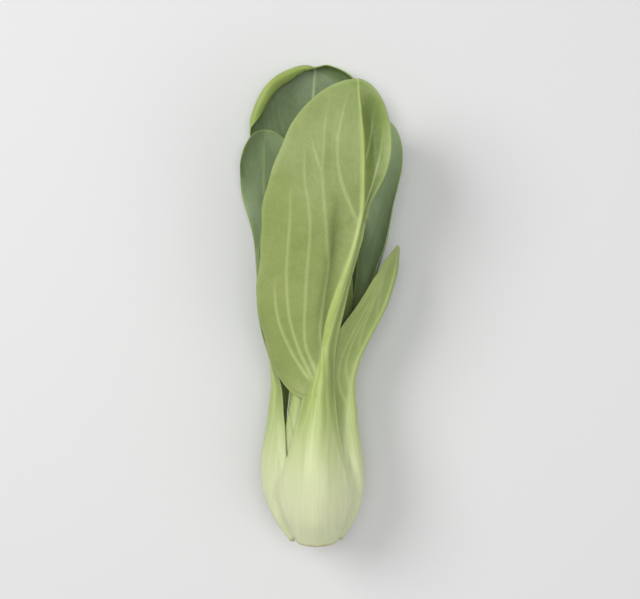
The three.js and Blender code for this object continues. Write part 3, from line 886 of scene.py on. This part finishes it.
# Stem: the short cut core that the leaves grow round, in mm. profile: (share of the grid's rings, radius,
# height) stations from the middle of the cut face, over a bevel, to the top. faceEnd: shares of the grid
# where the face's dish, rings and grain end. ringTurn: radians a mm. lobeDepth: share of the radius.
stem = dict(
    around=96, rings=40,
    profile=[(0, 0.02, 0), (0.4, 7.8, 0), (0.5, 8.5, 0.7), (0.97, 1.6, 15), (1, 0.02, 15.7)],
    faceEnd=(0.42, 0.36), dish=0.25, ringDepth=0.1, ringTurn=2.2, ringFade=(7.5, 3),
    grain=0.12, grainShift=9, grainSeed=5, lobes=5, lobeDepth=0.01, lobeShift=1, lobeFade=(3, 8),
)


# Turned shape along its profile, with sine rings, grain and a slight dish in the cut face and sine lobes
# round it.
def stemSurface():
    at, outwards, upwards = np.array(stem["profile"]).T
    t = np.linspace(0, 1, stem["rings"] + 1)
    angle = np.linspace(0, 2 * np.pi, stem["around"], endpoint=False)
    r, a = np.meshgrid(np.interp(t, at, outwards), angle, indexing="ij")
    h = np.repeat(np.interp(t, at, upwards)[:, None], stem["around"], 1)
    face = smooth(*stem["faceEnd"], np.repeat(t[:, None], stem["around"], 1))
    shift = stem["grainShift"]
    grain = stem["grain"] * noise(r * np.cos(a) + shift, r * np.sin(a) + shift, stem["grainSeed"])
    rings = stem["ringDepth"] * np.sin(r * stem["ringTurn"]) * smooth(*stem["ringFade"], r)
    h = h + face * (stem["dish"] + rings - grain)
    lobes = stem["lobeDepth"] * np.sin(stem["lobes"] * a + stem["lobeShift"]) * smooth(*stem["lobeFade"], r)
    r = r * (1 - lobes)
    return np.stack([r * np.cos(a), h, r * np.sin(a) + head["axisHeight"][0][1]], -1), r, face


# Stem look, in mm. ring: greenish, fading over ringFade from its radius, broken up by fine mottling. dried:
# radius, raised by mottling, from which the face browns, and how much.
stemLook = dict(
    face="e6e4c9", faceDeep="d3cfa8", side="d9dcb6", patch=3.0, fine=0.6,
    ring="b9c184", ringRadius=4.6, ringFade=(0.2, 1.2), ringBroken=(0.2, 0.8, 0.25, 0.8),
    dried="a58f5e", driedMottle=1.5, driedFrom=(6.2, 8.6), driedShare=0.7,
    rough=0.5, patchRough=0.12, bump=0.42, height=0.2 * mm,
    shader=dict(Subsurface_Weight=0.2, Subsurface_Scale=2 * mm),
)


# Cut face with ring and dried edge, by the distance from its middle, and a plain side.
def makeStemMaterial():
    material, nodes = newMaterial("stem_cut")
    look = tinted(stemLook)
    space = nodes.millimetres()
    patch = nodes.use(mottle, Place=space, Size=look["patch"])["Patch"]
    fine = nodes.use(mottle, Place=space, Size=look["fine"])["Patch"]
    radius, face = nodes.mask("radius"), nodes.mask("face")
    fromRing = nodes.sums("ABSOLUTE", nodes.sums("SUBTRACT", radius, look["ringRadius"]))
    ring = nodes.ramp(fromRing, *look["ringFade"], 1.0, 0.0)
    ring = nodes.times(ring, nodes.ramp(fine, *look["ringBroken"]))
    core = nodes.blend(ring, nodes.blend(patch, look["face"], look["faceDeep"]), look["ring"])
    dried = nodes.ramp(nodes.timesPlus(fine, look["driedMottle"], radius), *look["driedFrom"])
    core = nodes.blend(nodes.times(dried, look["driedShare"]), core, look["dried"])
    colour = nodes.blend(face, look["side"], core)
    rough = nodes.timesPlus(patch, look["patchRough"], look["rough"])
    normal = nodes.bump(fine, look["bump"], look["height"])
    nodes.shade(Base_Color=colour, Roughness=rough, Normal=normal, **look["shader"])
    return material


# Rings of quads, closed at each end by a fan round a middle point.
def addStem():
    points, radius, face = stemSurface()
    rings, around = points.shape[:2]
    grid = np.arange(rings * around).reshape(rings, around)
    a, b = grid[:-1], grid[1:]
    quads = np.stack([a, b, np.roll(b, -1, 1), np.roll(a, -1, 1)], -1).reshape(-1, 4)
    low, high = grid.size, grid.size + 1
    closeLow = np.stack([np.full(around, low), grid[0], np.roll(grid[0], -1)], -1)
    closeHigh = np.stack([np.full(around, high), np.roll(grid[-1], -1), grid[-1]], -1)
    everything = np.concatenate([points.reshape(-1, 3), [points[0].mean(0), points[-1].mean(0)]])
    faces = quads.tolist() + closeLow.tolist() + closeHigh.tolist()
    mesh = meshFrom("stem", toFrame(everything), faces)
    addMask(mesh, "radius", np.append(radius.ravel(), [0, 0]))
    addMask(mesh, "face", np.append(face.ravel(), [1, 0]))
    addPiece("stem_core", mesh, makeStemMaterial(), "stem")


addStem()

# Stage in metres: a pale floor, soft lights as (name, place, size, power), the key from the upper left, and
# a camera that looks straight down with the leaf tips at the top.
stage = dict(floorSize=3, floorColour=(0.66, 0.66, 0.65, 1), floorRough=0.75,
             lights=[("key", (-0.7, 0.35, 0.85), 0.7, 7.6), ("fill", (0.6, -0.2, 0.9), 0.9, 2.3),
                     ("top", (0.05, 0.1, 1.3), 0.7, 5.8)],
             target=(0, 0, 0.03), cameraPlace=(0, 0, 0.645), lens=90, clip=(0.01, 20),
             skyColour=(0.95, 0.97, 1, 1), skyStrength=0.35)


def addFloor():
    size = stage["floorSize"]
    corners = np.array([(-size, -size, 0), (size, -size, 0), (size, size, 0), (-size, size, 0)])
    mesh = meshFrom("floor", corners, [[0, 1, 2, 3]])
    material, nodes = newMaterial("floor_pale")
    nodes.shade(Base_Color=stage["floorColour"], Roughness=stage["floorRough"])
    mesh.materials.append(material)
    newObject("floor", mesh)


# Round area light, turned to the target.
def addLight(name, place, size, power):
    data = bpy.data.lights.new(name, "AREA")
    data.shape = "DISK"
    data.size = size
    data.energy = power
    light = newObject(name, data)
    light.location = place
    light.rotation_euler = (Vector(stage["target"]) - Vector(place)).to_track_quat("-Z", "Y").to_euler()


# Unturned, a camera looks straight down.
def addCamera():
    data = bpy.data.cameras.new("camera")
    data.lens = stage["lens"]
    data.clip_start, data.clip_end = stage["clip"]
    camera = newObject("camera", data)
    camera.location = stage["cameraPlace"]
    bpy.context.scene.camera = camera


# Even light from all sides.
def addSky():
    world = bpy.data.worlds.new("studio")
    world.use_nodes = True
    sky = world.node_tree.nodes["Background"]
    sky.inputs["Color"].default_value = stage["skyColour"]
    sky.inputs["Strength"].default_value = stage["skyStrength"]
    bpy.context.scene.world = world


addFloor()
for light in stage["lights"]:
    addLight(*light)
addCamera()
addSky()
bpy.context.scene.view_settings.view_transform = "Standard"
print("stage: floor, lights, camera")
